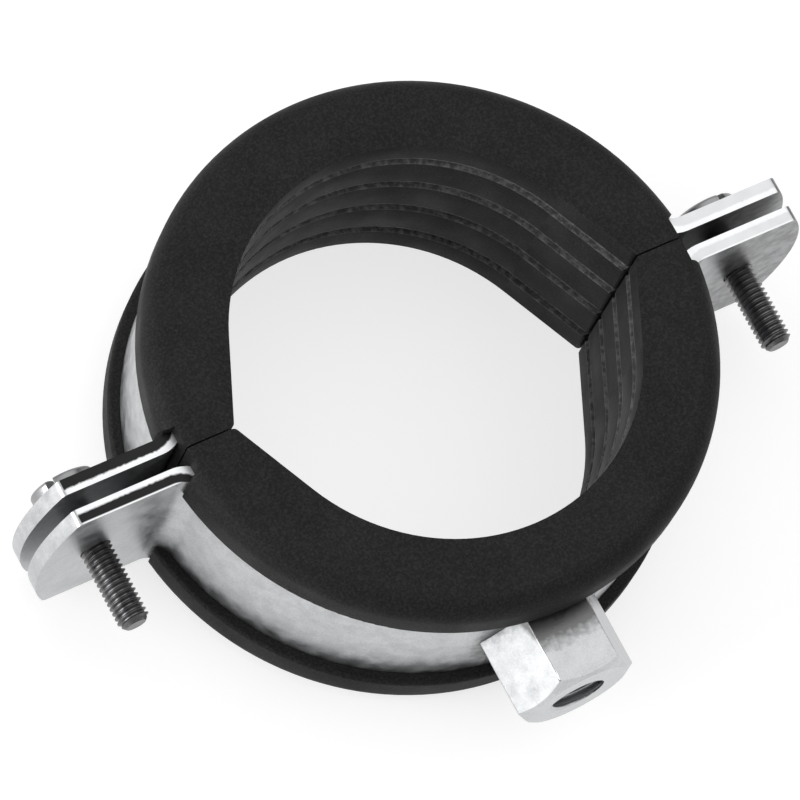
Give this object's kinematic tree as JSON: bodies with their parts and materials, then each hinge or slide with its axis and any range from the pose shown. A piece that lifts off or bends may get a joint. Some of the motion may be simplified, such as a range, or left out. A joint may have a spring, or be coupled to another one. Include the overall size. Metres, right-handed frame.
{
  "type": "rubber lined pipe clamp",
  "caption": "Split steel pipe clamp with a grooved rubber liner, clamping screws through its ears and a threaded connection nut",
  "frame": {"origin": "the middle of the bore, where the pipe's centre line passes half way along the liner", "axes": "+Z along the pipe, +X from the left ear to the right ear, +Y towards the screw heads, away from the connection nut"},
  "size_m": [0.159, 0.1176, 0.0446],
  "materials": {
    "upper_strap": "zinc plated, slightly dull",
    "lower_strap": "zinc plated, slightly dull",
    "upper_rubber": "matt moulded rubber",
    "lower_rubber": "matt moulded rubber",
    "screws": "zinc plated, darker",
    "nut": "zinc plated, bright"
  },
  "bodies": {
    "lower_half": {"lower_band": "lower_strap", "lower_liner": "lower_rubber", "connection_nut": "nut"},
    "upper_half": {"upper_band": "upper_strap", "upper_liner": "upper_rubber"},
    "left_screw": {"left_screw": "screws"},
    "right_screw": {"right_screw": "screws"}
  },
  "joints": [
    {"name": "upper_slide", "type": "slide", "parent": "lower_half", "child": "upper_half", "axis": [0, 1, 0], "range_m": [0, 0.015]},
    {"name": "left_screw_spin", "type": "hinge", "parent": "upper_half", "child": "left_screw", "pos_m": [-0.068, 0.0046, 0], "axis": [0, 1, 0], "range_deg": [0, 5400.1]},
    {"name": "right_screw_spin", "type": "hinge", "parent": "upper_half", "child": "right_screw", "pos_m": [0.068, 0.0046, 0], "axis": [0, 1, 0], "range_deg": [0, 5400.1]}
  ],
  "couplings": [
    {"joint": "left_screw_spin", "follows": "upper_slide", "rad_per_m": 6283.2},
    {"joint": "right_screw_spin", "follows": "upper_slide", "rad_per_m": 6283.2}
  ]
}
